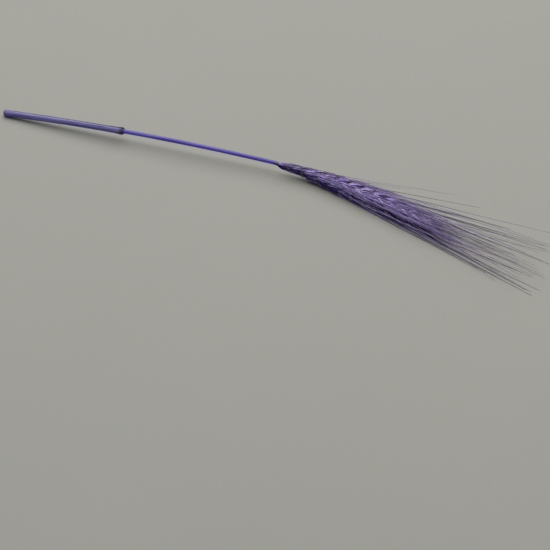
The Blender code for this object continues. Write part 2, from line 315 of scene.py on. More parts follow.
class Bath:
    """The dye bath: one material's node tree, with short ways to add its nodes."""

    def __init__(self, name: str) -> None:
        """Starts a material with its shader.

        Args:
            name: the material's name.
        """
        self.material = bpy.data.materials.new(name)
        self.material.use_nodes = True
        self.tree = self.material.node_tree
        self.shader = self.tree.nodes["Principled BSDF"]

    def node(self, kind: str, links: dict, **settings: object) -> bpy.types.Node:
        """Adds one node.

        Args:
            kind: the node's type without its ShaderNode prefix.
            links: for each input, by name or number, a socket to link or a value to set.
            settings: the node's own properties.

        Returns:
            The new node.
        """
        made = self.tree.nodes.new("ShaderNode" + kind)
        for key, value in settings.items():
            setattr(made, key, value)
        for key, value in links.items():
            if isinstance(value, bpy.types.NodeSocket):
                self.tree.links.new(value, made.inputs[key])
            else:
                made.inputs[key].default_value = value
        return made

    def read(self, name: str) -> bpy.types.Node:
        """The node that reads one of the mesh's attributes."""
        return self.node("Attribute", {}, attribute_name=name)

    def noise(self, place: bpy.types.NodeSocket, stretch: Colour, detail: float = 3.0) -> bpy.types.NodeSocket:
        """Noise along the grain.

        Args:
            place: the grain.
            stretch: how many swings it makes in each millimetre along the piece and each way across it.
            detail: its octaves.

        Returns:
            The socket of its value, about 0 to 1.
        """
        scaled = self.node("VectorMath", {0: place, 1: stretch}, operation="MULTIPLY")
        links = {"Vector": scaled.outputs[0], "Scale": 1.0, "Detail": detail, "Roughness": NOISE_ROUGHNESS}
        return self.node("TexNoise", links).outputs["Fac"]

    def span(self, value: bpy.types.NodeSocket, low: float, high: float, start: float = 0.0,
             end: float = 1.0) -> bpy.types.NodeSocket:
        """A value's rise from low to high, as a smooth S from start to end."""
        links = {"Value": value, "From Min": low, "From Max": high, "To Min": start, "To Max": end}
        return self.node("MapRange", links, interpolation_type="SMOOTHSTEP").outputs[0]

    def reckon(self, operation: str, first: object, second: object) -> bpy.types.NodeSocket:
        """The result of one operation on two values."""
        return self.node("Math", {0: first, 1: second}, operation=operation).outputs[0]

    def plus(self, first: object, second: object) -> bpy.types.NodeSocket:
        """The sum of two values."""
        return self.reckon("ADD", first, second)

    def times(self, first: object, second: object) -> bpy.types.NodeSocket:
        """The product of two values."""
        return self.reckon("MULTIPLY", first, second)

    def blend(self, share: object, first: object, second: object) -> bpy.types.NodeSocket:
        """One colour laid over another.

        Args:
            share: how much of the upper colour shows, as a socket or a number.
            first: the colour below, as a socket or three numbers.
            second: the colour laid over it, likewise.

        Returns:
            The socket of the blended colour.
        """
        links = {0: share}
        for number, colour in zip(MIX_COLOURS, (first, second)):
            links[number] = colour if isinstance(colour, bpy.types.NodeSocket) else (*colour, 1.0)
        return self.node("Mix", links, data_type="RGBA").outputs[MIX_RESULT]


@dataclass(frozen=True)
class Finish:
    """How one kind of dyed, dried surface looks. Colours are linear, and shares run from 0 to 1."""

    name: str
    slot: Slot
    deep: Colour
    dye: Colour
    bloom: Colour
    bare: Colour
    # The colour at each piece's start: on the husks it is painted shade at their feet, among the other husks; on
    # the straw, sheath and awns it only darkens their start.
    root: Colour
    tip: Colour
    warm: Colour = (0.14, 0.08, 0.26)
    warm_share: float = 0.0
    warm_stretch: Colour = (0.04, 0.3, 0.3)
    warm_range: tuple[float, float] = (0.42, 0.6)
    dye_range: tuple[float, float] = (0.38, 0.6)
    # How far the tone of each copy, with its painted light and shade, moves the fibres between deep and dye.
    tint_share: float = 0.0
    bloom_share: float = 0.5
    bloom_range: tuple[float, float] = (0.4, 0.6)
    bloom_mask: tuple[float, float, float, float] = (0.36, 0.6, 0.2, 1.0)
    bare_share: float = 0.1
    bare_range: tuple[float, float] = (0.6, 0.7)
    root_reach: float = 0.15
    root_depth: float = 0.85
    tip_from: float = 0.7
    tip_depth: float = 0.8
    margin_from: float = 0.3
    margin_share: float = 0.3
    # How much painted shade darkens the bottom of the grooves between veins.
    groove_shade_share: float = 0.0
    roughness: tuple[float, float] = (0.5, 0.75)
    fibres: float = 5.0
    fibre_run: float = 0.25
    patches: float = 0.4
    patch_run: float = 0.12
    patch_weight: float = 0.6
    flecks: float = 1.6
    relief: float = 0.03 * MM
    relief_strength: float = 0.7
    gloss: float = 0.3
    coat: float = 0.0
    coat_roughness: float = 0.25
    sheen: float = 0.0
    sheen_roughness: float = 0.4

    def dyed(self, bath: Bath, grain: bpy.types.NodeSocket, fibre: bpy.types.NodeSocket,
             tint_and_painted_light: bpy.types.NodeSocket) -> bpy.types.NodeSocket:
        """The dye and its bloom.

        The fibres run from the deep colour to the dye, which turns warmer in slow patches. Over them comes the
        bloom, where the dye has faded in patches of whole fibres. Both follow tint_and_painted_light, which on
        husks
        and wisps paints light and shade: copies that face up come out lighter, those that face down darker.

        Args:
            bath: the material being made.
            grain: the grain.
            fibre: the noise of the fibres.
            tint_and_painted_light: the tone of each copy, with painted light and shade on husks and wisps.

        Returns:
            The socket of their colour.
        """
        warmth = bath.span(bath.noise(grain, self.warm_stretch, 1.0), *self.warm_range)
        dye = bath.blend(bath.times(warmth, self.warm_share), self.dye, self.warm)
        taken = bath.plus(fibre, bath.times(bath.plus(tint_and_painted_light, -0.5), self.tint_share))
        dyed = bath.blend(bath.span(taken, *self.dye_range), self.deep, dye)
        patch = bath.noise(grain, (self.patch_run, self.patches, self.patches), 2.0)
        faded = bath.plus(bath.times(patch, self.patch_weight), bath.times(tint_and_painted_light, 1.0 - self.patch_weight))
        faded = bath.times(bath.span(faded, *self.bloom_range), bath.span(fibre, *self.bloom_mask))
        return bath.blend(bath.times(faded, self.bloom_share), dyed, self.bloom)

    def material(self) -> bpy.types.Material:
        """Lays the dye on, layer by layer.

        Fibres are noise drawn out along the grain. Over the dye and its bloom come the bare flecks and
        margins that it never took, painted shade in the deep colour at the bottom of the grooves between veins,
        the darker root, which on the husks is painted shade at their feet, and the tip's own colour. The fibres
        and a finer noise raise the relief.

        Returns:
            The material, made once and shared by all pieces of this finish.
        """
        if self.name in bpy.data.materials:
            return bpy.data.materials[self.name]
        bath = Bath(self.name)
        grain = bath.read("grain").outputs["Vector"]
        # The marks: share of the length, the tone of each copy with painted light and shade, and the worn margins
        # with the painted groove shade.
        rise, tint_and_painted_light, wear_and_groove_shade = bath.node("SeparateColor", {"Color": bath.read("marks").outputs["Color"]}).outputs
        fibre = bath.noise(grain, (self.fibre_run, self.fibres, self.fibres))
        fine = bath.noise(grain, (2.0 * self.fibre_run, 3.0 * self.fibres, 3.0 * self.fibres), 2.0)
        fleck = bath.noise(grain, (2.5 * self.patch_run, self.flecks, self.flecks), 4.0)
        margin = bath.times(bath.span(wear_and_groove_shade, self.margin_from, 1.0), self.margin_share)
        bare = bath.reckon("MAXIMUM", bath.times(bath.span(fleck, *self.bare_range), self.bare_share), margin)
        colour = bath.blend(bare, self.dyed(bath, grain, fibre, tint_and_painted_light), self.bare)
        # Painted shade: the deep colour laid into the bottom of the grooves between veins.
        colour = bath.blend(bath.span(wear_and_groove_shade, -1.0, 0.0, self.groove_shade_share, 0.0), colour, self.deep)
        # The darker root: on the husks it is painted shade at their feet, among the other husks.
        colour = bath.blend(bath.span(rise, 0.0, self.root_reach, self.root_depth, 0.0), colour, self.root)
        colour = bath.blend(bath.span(rise, self.tip_from, 1.0, 0.0, self.tip_depth), colour, self.tip)
        height = bath.plus(fibre, bath.times(fine, 0.5))
        bump = bath.node("Bump", {"Strength": self.relief_strength, "Distance": self.relief, "Height": height})
        shader = bath.shader.inputs
        bath.tree.links.new(colour, shader["Base Color"])
        bath.tree.links.new(bath.span(fine, 0.3, 0.7, *self.roughness), shader["Roughness"])
        bath.tree.links.new(bump.outputs[0], shader["Normal"])
        shader["Specular IOR Level"].default_value = self.gloss
        shader["Coat Weight"].default_value = self.coat
        shader["Coat Roughness"].default_value = self.coat_roughness
        shader["Sheen Weight"].default_value = self.sheen
        shader["Sheen Roughness"].default_value = self.sheen_roughness
        return bath.material


STRAW_FINISH = Finish(
    "glossy_straw", Slot.STRAW, deep=(0.065, 0.048, 0.30), dye=(0.125, 0.095, 0.49), bloom=(0.19, 0.155, 0.50),
    bare=(0.32, 0.30, 0.46), root=(0.08, 0.055, 0.24), tip=(0.11, 0.085, 0.40), bloom_share=0.5, bare_share=0.25,
    root_reach=0.03, tip_from=0.94, margin_share=0.0, roughness=(0.42, 0.58), fibres=3.2, fibre_run=0.05,
    patch_run=0.03, relief=0.02 * MM, coat=0.05)
SHEATH_FINISH = Finish(
    "papery_sheath", Slot.SHEATH, deep=(0.085, 0.07, 0.24), dye=(0.175, 0.155, 0.42), bloom=(0.31, 0.29, 0.50),
    bare=(0.46, 0.44, 0.50), root=(0.12, 0.09, 0.24), tip=(0.035, 0.018, 0.065), bloom_share=0.6, bare_share=0.4,
    root_reach=0.03, tip_from=0.955, margin_share=0.35, roughness=(0.45, 0.7), fibres=3.0, fibre_run=0.06,
    patch_run=0.05, relief=0.03 * MM, coat=0.1)
# On the husks the root colour and the groove shade share are painted shade, at their feet and in the grooves, and
# tint_share carries painted light and shade by which way they face.
HUSK_FINISH = Finish(
    "dyed_husk", Slot.HUSK, deep=(0.019, 0.011, 0.105), dye=(0.155, 0.105, 0.50), bloom=(0.56, 0.44, 0.74),
    bare=(0.70, 0.59, 0.62), root=(0.014, 0.008, 0.055), tip=(0.44, 0.34, 0.46), warm=(0.20, 0.10, 0.36),
    warm_share=0.8, tint_share=0.5, bloom_share=1.0, bare_share=0.6, root_reach=0.35, tip_from=0.78,
    margin_share=0.45, groove_shade_share=0.85, roughness=(0.5, 0.78), fibres=2.0, fibre_run=0.12, relief=0.05 * MM,
    gloss=0.15, sheen=0.06)
AWN_FINISH = Finish(
    "bristly_awn", Slot.AWN, deep=(0.075, 0.052, 0.17), dye=(0.22, 0.165, 0.38), bloom=(0.46, 0.38, 0.56),
    bare=(0.44, 0.37, 0.42), root=(0.15, 0.11, 0.34), tip=(0.085, 0.055, 0.10), bloom_share=0.8, bare_share=0.35,
    tint_share=0.15, root_reach=0.3, tip_from=0.45, margin_share=0.0, roughness=(0.5, 0.7), fibres=3.0,
    fibre_run=0.12, patch_run=0.05, relief=0.02 * MM, gloss=0.2, sheen=0.05)


@dataclass
class Spine:
    """The line that all pieces follow: straight along the straw, swung and lowered through the ear."""

    base: Colour = (-3.94 * MM, 16.13 * MM, 5.6 * MM)
    straw_length: float = 139 * MM
    straw_heading: float = np.radians(-5.0)
    tip_heading: float = np.radians(15.0)
    cut_height: float = 1.72 * MM
    bow: float = 1.3 * MM
    drop: float = 2.9 * MM
    drop_reach: float = 50 * MM
    reach: float = 85 * MM
    step: float = 0.5 * MM

    def __post_init__(self) -> None:
        """Adds up short steps along the heading, from the cut end, and moves them so that s = 0 is the base."""
        steps = round((self.straw_length + self.reach) / self.step)
        turn = self.heading((np.arange(steps) + 0.5) * self.step - self.straw_length)
        walk = np.cumsum(np.stack([np.cos(turn), -np.sin(turn)], -1) * self.step, axis=0)
        walk = np.concatenate([np.zeros((1, 2)), walk])
        walk += np.array(self.base[:2]) - walk[round(self.straw_length / self.step)]
        s = np.arange(steps + 1) * self.step - self.straw_length
        self.line = np.column_stack([walk, self.height(s)])

    def heading(self, s: Array) -> Array:
        """The way it runs seen from above, from +X towards -Y: it turns by a quarter sine within the ear."""
        share = np.clip(s / self.reach, 0.0, 1.0)
        return mix(self.straw_heading, self.tip_heading, np.sin(share * np.pi / 2))

    def height(self, s: Array) -> Array:
        """How high it runs: up a quarter sine and a half sine laid over it, then down a quarter sine.

        Args:
            s: distances along it.

        Returns:
            Its height at each: the first two along the straw, the last within the ear.
        """
        share = (s + self.straw_length) / self.straw_length
        rise = mix(self.cut_height, self.base[2], np.sin(share * np.pi / 2)) + self.bow * np.sin(share * np.pi)
        fall = self.base[2] - self.drop * np.sin(np.minimum(s / self.drop_reach, 1.0) * np.pi / 2)
        return np.where(share > 1.0, fall, rise)

    def points(self, s: Array) -> Array:
        """Its points, between the two nearest steps, or straight on past its ends.

        Args:
            s: distances along it.

        Returns:
            The points, of shape (..., 3).
        """
        place = (np.asarray(s, float) + self.straw_length) / self.step
        low = np.clip(place.astype(int), 0, len(self.line) - 2)
        return mix(self.line[low], self.line[low + 1], col(place - low))

    def frames(self, s: Array) -> tuple[Array, Array, Array]:
        """Its directions at s.

        Args:
            s: distances along it.

        Returns:
            The way it runs, its side towards -Y and its upper side, each of shape (..., 3).
        """
        s = np.asarray(s, float)
        ahead = unit(self.points(s + self.step) - self.points(s - self.step))
        side = unit(np.cross(ahead, UP))
        return ahead, side, np.cross(side, ahead)

    def around(self, s: Array, turn: Array, radius: Array) -> Array:
        """Points round the spine: its point at s, plus radius times the upper side's cosine and the side's sine.

        Args:
            s: distances along it, of shape (rings, around) or one that spreads to it.
            turn: angles from its upper side towards -Y, likewise.
            radius: distances from it, likewise.

        Returns:
            The points, of shape (rings, around, 3).
        """
        s, turn, radius = np.broadcast_arrays(s, turn, radius)
        _, side, upper = self.frames(s)
        return self.points(s) + col(radius * np.cos(turn)) * upper + col(radius * np.sin(turn)) * side


@dataclass
class Piece:
    """One named piece: it knows its mesh, its finish and the plain solid that it stands for."""

    spine: Spine
    name: str = ""
    node: str = ""
    finish: Finish = HUSK_FINISH
    sharp: float = np.radians(60.0)

    def skin(self) -> Skin:
        """The piece's mesh, which each kind of piece works out in its own way."""
        raise NotImplementedError

    def tube(self, s: Array, turn: Array, radius: Array, marks: tuple, ends: Ends = Ends.POLES) -> Skin:
        """One closed tube round the spine, whose grain is the same tube made straight.

        Args:
            s: distances along the spine, of shape (rings, around) or one that spreads to it.
            turn: angles from its upper side towards -Y, likewise.
            radius: distances from it, likewise.
            marks: the share of the length, the tint and the wear, each likewise.
            ends: how both ends are closed.

        Returns:
            The tube's mesh.
        """
        lattice = self.spine.around(s, turn, radius)
        grain = stacked(s, radius * np.cos(turn), radius * np.sin(turn)) / MM
        made = Skin()
        made.tubes(lattice[None], grain[None], stacked(*marks)[None], ends)
        return made

    def build(self) -> bpy.types.Object:
        """Builds and dresses the piece, sets it in the frame and reports it.

        Returns:
            The finished object.
        """
        made = self.skin().make(self.name, self.sharp)
        made.data.materials.append(self.finish.material())
        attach(made, BODY)
        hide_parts(self.node)
        LOG.info("%s: %d faces, for %s", self.name, len(made.data.polygons), self.node)
        return made


@dataclass
class Straw(Piece):
    """The stalk: a ribbed, slightly creased tube, cut open at its lower end and rooted in the ear."""

    name: str = "straw"
    node: str = "stem"
    finish: Finish = STRAW_FINISH
    radius_cut: float = 1.1 * MM
    radius_neck: float = 0.95 * MM
    bore: float = 0.65 * MM
    bore_depth: float = 7 * MM
    pith_wave: float = 0.07
    pith_close: float = 1.2 * MM
    into_ear: float = 0.5 * MM
    ribs: int = 15
    rib_height: float = 0.014 * MM
    crease: float = 0.05 * MM
    fray: float = 0.22 * MM
    rim_place: tuple[float, float, float] = (0.12, 0.5, 0.88)
    rim_fray: tuple[float, float, float] = (0.7, 1.0, 0.8)
    lip: float = 0.12 * MM
    sides: int = 60
    rings: int = 240
    bore_rings: int = 14

    def radius(self, s: Array) -> Array:
        """Its plain radius, which tapers evenly from the cut end to the neck."""
        return mix(self.radius_cut, self.radius_neck, (s + self.spine.straw_length) / self.spine.straw_length)

    def skin(self) -> Skin:
        """One tube that runs from the bottom of the bore out to the cut, over its frayed lip and on to the neck.

        Its radius is the plain radius, plus ribs as a cosine of the turn, plus slow creases as a wander of turn
        and distance. The lip's rings are drawn back and forth along the straw by a wander of the turn.

        Returns:
            The straw's mesh.
        """
        turn = full_circle(self.sides)[None]
        cut = -self.spine.straw_length
        floor = cut + self.bore_depth
        inside = np.linspace(floor, cut + self.lip, self.bore_rings)[:, None]
        pith = self.bore * (1.0 + self.pith_wave * wander(5.0 * turn + inside / MM, 3.0))
        pith = pith * smooth(0.25 + (floor - inside) / self.pith_close)
        outside = mix(cut + self.lip, self.into_ear, np.linspace(0.0, 1.0, self.rings)[:, None])
        crease = wander(2.0 * turn + 0.05 * outside / MM, 1.0) * np.cos(0.11 * outside / MM + turn)
        wall = self.radius(outside) + self.rib_height * np.cos(self.ribs * turn) + self.crease * crease
        rim = mix(self.bore, self.radius_cut, np.array(self.rim_place))[:, None] + 0.0 * turn
        back = cut + self.fray * 0.5 * (1.0 + wander(7.0 * turn, 2.0)) * np.array(self.rim_fray)[:, None]
        s = np.concatenate([inside + 0.0 * turn, back - self.fray * 0.45, outside + 0.0 * turn])
        radius = np.concatenate([pith, rim, wall])
        return self.tube(s, turn, radius, (1.0 + s / self.spine.straw_length, 0.5, 0.0))


@dataclass
class LeafSheath(Piece):
    """The flag leaf's sheath: a veined tube, split along its top, with a flared and swollen dark collar."""

    name: str = "leaf_sheath_tube"
    node: str = "leaf_sheath"
    finish: Finish = SHEATH_FINISH
    straw: Straw = None
    length: float = 62.3 * MM
    gap: float = 0.22 * MM
    wall: float = 0.26 * MM
    flare: float = 0.14 * MM
    flare_from: float = 0.72
    swell: float = 0.16 * MM
    collar_from: float = 0.93
    collar_to: float = 0.98
    slit_half_angle: float = np.radians(14.0)
    slit_turn: float = np.radians(-6.0)
    clearance: float = 0.3 * MM
    veins: int = 22
    vein_height: float = 0.035 * MM
    curl: float = 0.12 * MM
    waver: float = 0.04 * MM
    margin_wall: float = 0.45
    margin_from: float = 0.88
    lumps: float = 0.35
    ragged: float = 0.5 * MM
    ragged_from: float = 0.95
    half: int = 72
    rings: int = 150

    def skin(self) -> Skin:
        """A tube whose ring runs along the wall's outside and back along its inside.

        The outer radius is the inner one plus the wall, the collar's swell and veins as a cosine of the turn. The
        slit's two margins lift by the curl, and the mouth's edge is drawn out and in by a wander of the turn.

        Returns:
            The sheath's mesh.
        """
        share = np.linspace(0.0, 1.0, self.rings)[:, None] ** 0.8
        across = np.linspace(-1.0, 1.0, self.half)[None]
        sweep = across * (np.pi - self.slit_half_angle * (0.55 + 0.45 * share))
        turn = np.pi + self.slit_turn + sweep
        s = self.length * share - self.spine.straw_length + self.clearance
        flare = self.flare * smooth((share - self.flare_from) / (1.0 - self.flare_from))
        margin = smooth((np.abs(across) - self.margin_from) / (1.0 - self.margin_from))
        inner = self.straw.radius(s) + self.gap + flare + self.curl * margin
        inner = inner + self.waver * wander(1.5 * turn + 9.0 * share, 4.0)
        collar = smooth((share - self.collar_from) / (self.collar_to - self.collar_from))
        lumps = 1.0 + self.lumps * wander(6.0 * turn, 6.0)
        thick = self.wall * mix(1.0, self.margin_wall, margin) + self.swell * collar * lumps
        veins = self.vein_height * np.cos(self.veins * turn) * (1.0 - 0.7 * collar) * (1.0 - margin)
        mouth = smooth((share - self.ragged_from) / (1.0 - self.ragged_from))
        s = s + self.ragged * 0.5 * (wander(5.0 * turn, 8.0) - 1.0) * mouth
        radius = there_and_back(inner + thick + veins, inner)
        marks = (share, 0.5, there_and_back(margin, margin))
        return self.tube(there_and_back(s, s), there_and_back(turn, turn), radius, marks, Ends.LIPS)


@dataclass
class Ligule(Piece):
    """The thin, torn membrane that stands in the sheath's mouth and hugs the straw."""

    name: str = "ligule"
    node: str = "leaf_sheath"
    finish: Finish = SHEATH_FINISH
    sheath: LeafSheath = None
    root_depth: float = 2.0 * MM
    stand: float = 0.9 * MM
    tear: float = 0.7 * MM
    lean: float = 0.1 * MM
    waver: float = 0.06 * MM
    thickness: float = 0.06 * MM
    half: int = 72
    rings: int = 12

    def skin(self) -> Skin:
        """A split tube from inside the mouth to just past it, whose free edge is torn by a wander of the turn.

        Returns:
            The ligule's mesh.
        """
        share = np.linspace(0.0, 1.0, self.rings)[:, None]
        across = np.linspace(-1.0, 1.0, self.half)[None]
        turn = np.pi + self.sheath.slit_turn + across * (np.pi - 1.3 * self.sheath.slit_half_angle)
        mouth = self.sheath.length + self.sheath.clearance - self.spine.straw_length
        torn = self.stand - self.tear * 0.5 * (1.0 - wander(9.0 * turn, 5.0))
        s = mouth - self.root_depth + (self.root_depth + torn) * share
        inner = self.sheath.straw.radius(s) + self.sheath.gap + self.lean
        inner = inner + self.waver * wander(8.0 * turn, 9.0) * share
        radius = there_and_back(inner + self.thickness * (1.0 - 0.5 * share), inner)
        return self.tube(there_and_back(s, s), there_and_back(turn, turn), radius, (1.0, 0.3, 0.0), Ends.LIPS)


@dataclass
class Stand:
    """Where a set of husks stands: one row for each husk in every array."""

    root: Array
    along: Array
    keel: Array
    scale: Array
    stretch: Array
    key: Array
    spikelet: Array
    centre: Array

    @property
    def number(self) -> Array:
        """A number that is each husk's own."""
        return own_number(self.key)

    def tips(self, length: float) -> Array:
        """The tips of husks of this full-grown length."""
        return self.root + self.along * col(length * self.scale * self.stretch)


@dataclass
class EarPlan:
    """How the spikelets stand on the rachis, in two rows that alternate from the neck to the tip."""

    spine: Spine
    count: int = 24
    length: float = 75 * MM
    first: float = 1.5 * MM
    roll: float = np.radians(0.5)
    twist: float = np.radians(8.0)
    lean: float = np.radians(20.0)
    lean_neck: float = np.radians(2.0)
    lean_tip: float = np.radians(11.0)
    neck_size: float = 0.33
    neck_stretch: float = 1.9
    tip_size: float = 0.8
    neck_to: float = 0.45
    full_from: float = 0.5
    lean_from: float = 0.6
    full_to: float = 0.72
    root_out: float = 0.25 * MM
    root_side: float = 0.3 * MM
    floret_up: float = 0.9 * MM
    inner_up: float = 2.6 * MM
    inner_lean: float = 0.05
    glume_spread: float = np.radians(15.0)
    glume_keel: tuple[float, float] = (0.8, 0.6)
    floret_spread: float = np.radians(9.0)
    floret_keel: tuple[float, float] = (0.6, 0.8)
    furrow_lean: float = np.radians(4.0)
    furrow_out: float = 1.0 * MM
    furrow_up: float = 1.5 * MM
    furrow_key: float = 40.0
    lean_varies: float = 0.1
    size_varies: float = 0.04

    def __post_init__(self) -> None:
        """Works out the directions, the size and the place of every spikelet."""
        self.number = np.arange(self.count)
        self.share = self.number / (self.count - 1)
        self.place = mix(self.first, self.length, self.share)
        self.ahead, self.row, self.face = self.frames(self.place)
        self.turned = np.where(self.number % 2 == 0, 1.0, -1.0)
        last = col(self.number == self.count - 1)
        self.outwards = mix(self.row * col(self.turned), self.face, last)
        self.edgeways = mix(self.face, self.row, last)
        lean = mix(self.lean_neck, self.lean, smooth(self.share / self.neck_to))
        lean = lean * (1 + self.lean_varies * vary(self.number))
        lean = mix(lean, self.lean_tip, smooth((self.share - self.lean_from) / (1.0 - self.lean_from)))
        lean = col(lean) * (1.0 - last)
        self.grown = self.size(self.share)
        self.scale = self.grown * (1 + self.size_varies * vary(self.number, 0, 1))
        grown = smooth((self.scale - self.neck_size) / (1.0 - self.neck_size))
        self.stretch = mix(self.neck_stretch, 1.0, grown)
        self.up = self.ahead * np.cos(lean) + self.outwards * np.sin(lean)
        self.out = self.outwards * np.cos(lean) - self.ahead * np.sin(lean)
        self.centre = self.spine.points(self.place)
        self.root = self.centre + self.outwards * self.root_out
        self.tipwards = self.frames(np.array(self.length))[0]

    def size(self, share: Array) -> Array:
        """Size along the ear: small at the neck, full in its upper half, a little less at the tip."""
        grown = mix(self.neck_size, 1.0, smooth(share / self.full_from))
        return grown * mix(1.0, self.tip_size, smooth((share - self.full_to) / (1.0 - self.full_to)))

    def frames(self, s: Array) -> tuple[Array, Array, Array]:
        """The ear's directions at s.

        Args:
            s: distances along the spine.

        Returns:
            The way it runs, the way its first row faces, and its braided face, rolled and slowly twisted.
        """
        ahead, side, upper = self.spine.frames(s)
        roll = col(self.roll + self.twist * (s / self.length - 0.5))
        return ahead, side * np.cos(roll) - upper * np.sin(roll), upper * np.cos(roll) + side * np.sin(roll)

    def both(self) -> tuple[Array, Array]:
        """The spikelet and the side, 1 or -1, of two husks for every spikelet."""
        return np.repeat(self.number, 2), np.tile([1.0, -1.0], self.count)

    def stand(self, root: Array, along: Array, keel: Array, i: Array, key: Array) -> Stand:
        """Where husks stand, with their size, stretch and centre from the spikelets that bear them."""
        return Stand(root, along, keel, self.scale[i], self.stretch[i], key, i, self.centre[i])

    def pair(self, spread: float, change: float, use: int, keel: tuple[float, float], up: float,
             out: float) -> Stand:
        """One husk on each side of every spikelet.

        The husk's line is the spikelet's, swung sideways by the spread. Its keel faces sideways and outwards.

        Args:
            spread: how far it swings, in radians.
            change: how much the spread changes from husk to husk, as a share.
            use: keeps this draw apart from others.
            keel: how much the keel faces sideways and how much outwards.
            up: how far up the spikelet it is rooted, at full size.
            out: how far outwards it is rooted.

        Returns:
            Where the husks stand, spikelet by spikelet.
        """
        i, b = self.both()
        swing = col(spread * (1 + change * vary(i, b, use)))
        along = self.up[i] * np.cos(swing) + self.edgeways[i] * col(b) * np.sin(swing)
        facing = self.edgeways[i] * col(keel[0] * b) + self.out[i] * keel[1]
        root = self.root[i] + self.up[i] * col(up * self.scale[i]) + self.edgeways[i] * col(b * self.root_side)
        return self.stand(root + self.out[i] * out, along, facing, i, stacked(i, b))

    def glumes(self) -> Stand:
        """Where the two glumes of every spikelet stand."""
        return self.pair(self.glume_spread, 0.15, 2, self.glume_keel, 0.0, 0.0)

    def florets(self) -> Stand:
        """Where the two main florets of every spikelet stand."""
        return self.pair(self.floret_spread, 0.2, 3, self.floret_keel, self.floret_up, self.root_out)

    def furrow_husks(self) -> Stand:
        """Where two more husks of every spikelet stand, which close the furrow between the two rows.

        They are rooted on both faces of the rachis and lie along it, leaning a little off it and towards the
        spikelet's own row.

        Returns:
            Where the husks stand, spikelet by spikelet.
        """
        i, b = self.both()
        away = self.edgeways[i] * col(b)
        swing = col(self.furrow_lean * (1.0 + 0.5 * vary(i, b, 21)))
        aside = self.outwards[i] * col(0.10 + 0.08 * vary(i, b, 22))
        along = unit(self.ahead[i] * np.cos(swing) + away * np.sin(swing) + aside)
        root = self.centre[i] + away * col(self.furrow_out * self.scale[i]) + self.ahead[i] * self.furrow_up
        facing = away + self.outwards[i] * col(0.3 * vary(i, b, 23))
        return self.stand(root, along, facing, i, stacked(i + self.furrow_key, b))

    def inner_florets(self) -> Stand:
        """Where the inner floret of every spikelet stands, between and above the main ones.

        Returns:
            Where the husks stand, spikelet by spikelet.
        """
        root = self.root + self.up * col(self.inner_up * self.scale) + self.out * self.root_out
        along = unit(self.up + self.out * self.inner_lean)
        return self.stand(root, along, self.out, self.number, stacked(self.number, 0.0))


@dataclass(frozen=True)
class HuskForm:
    """The form of one kind of husk, full grown: a boat with its keel outwards, closed by an inner wall.

    Across the husk, the section follows |x|^p + |y|^p = 1 out to the wrap angle, with p its roundness.
    """

    length: float
    half_width: float
    half_depth: float
    wrap: float = np.radians(112.0)
    roundness: float = 1.6
    back: float = 0.6
    inner_wall: float = 0.86
    veins: int = 4
    vein_height: float = 0.11 * MM
    bow: float = 0.05
    fullness: float = 0.75
    neck: float = 0.12
    rings: int = 18
    outer: int = 37
    inner: int = 9
    edge_varies: float = 0.05
    width_varies: float = 0.04
    bow_varies: float = 0.3
    bend: float = 0.035
    crumple: float = 0.05 * MM

    def width(self, t: Array) -> Array:
        """The share of full width at t of the length: an ovate outline that leaves a slim neck at its tip."""
        ovate = np.sin(np.pi * t ** self.fullness) ** self.fullness
        return ovate + self.neck * smooth((t - 0.55) / 0.45) * (1.0 - ovate)

    def veined(self, turn: Array) -> Array:
        """How high the husk's wall stands: 1 on the crest of a vein, the keel among them, and -1 in a groove."""
        return np.cos(turn * self.veins * np.pi / self.wrap)

    def surface(self, stand: Stand, t: Array, turn: Array, layer: Array) -> tuple[Array, Array]:
        """Points on the husks.

        A point is the root, plus the length times t, plus a bow of half a sine towards the keel, plus the section
        times the width at t. Veins are cosines of the turn, and slow wanders bend, widen and crumple each husk.
        What would reach below the floor is pressed flat on it.

        Args:
            stand: where the husks stand, count rows.
            t: shares of the length, of shape (rings, 1).
            turn: angles from the keel, of shape (1, around).
            layer: 1 on the outer wall, less on the inner one, of the shape of turn.

        Returns:
            The points, and their grain in millimetres, both of shape (count, rings, around, 3).
        """
        k = stand.number[:, None, None]
        size = stand.scale[:, None, None]
        keel = unit(stand.keel - stand.along * dot(stand.keel, stand.along))
        across = np.cross(stand.along, keel)
        sine, cosine = np.sin(turn), np.cos(turn)
        reach = (np.abs(sine) ** self.roundness + np.abs(cosine) ** self.roundness) ** (-1 / self.roundness)
        x = reach * sine * layer
        y = reach * cosine * layer * np.where(cosine < 0, self.back, 1.0)
        width = self.width(t) * (1.0 + self.edge_varies * wander(5.0 * t, k))
        raised = self.vein_height * self.veined(turn) * smooth((layer - 0.9) / 0.1)
        crumple = self.crumple * wander(2.2 * turn + 3.0 * t, k + 0.5)
        crumple = crumple * smooth(4.0 * t) * smooth(4.0 * (1.0 - t))
        lift = (raised + crumple) * self.width(t) ** 0.5
        side = self.half_width * size * width * x * (1.0 + self.width_varies * vary(k, 0, 6)) + lift * sine
        deep = self.half_depth * size * width * y + lift * cosine
        length = self.length * size * stand.stretch[:, None, None]
        bend = self.bend * length * vary(k, 0, 7) * t ** 2
        run = length * t + 0.0 * turn
        bow = self.bow * length * np.sin(np.pi * t) * (1.0 + self.bow_varies * vary(k, 0, 8))
        points = (stand.root[:, None, None] + col(run) * stand.along[:, None, None]
                  + col(deep + bow) * keel[:, None, None] + col(side + bend) * across[:, None, None])
        return above_floor(points), stacked(run / MM + 9.0 * k, side / MM + 5.0 * k, deep / MM)


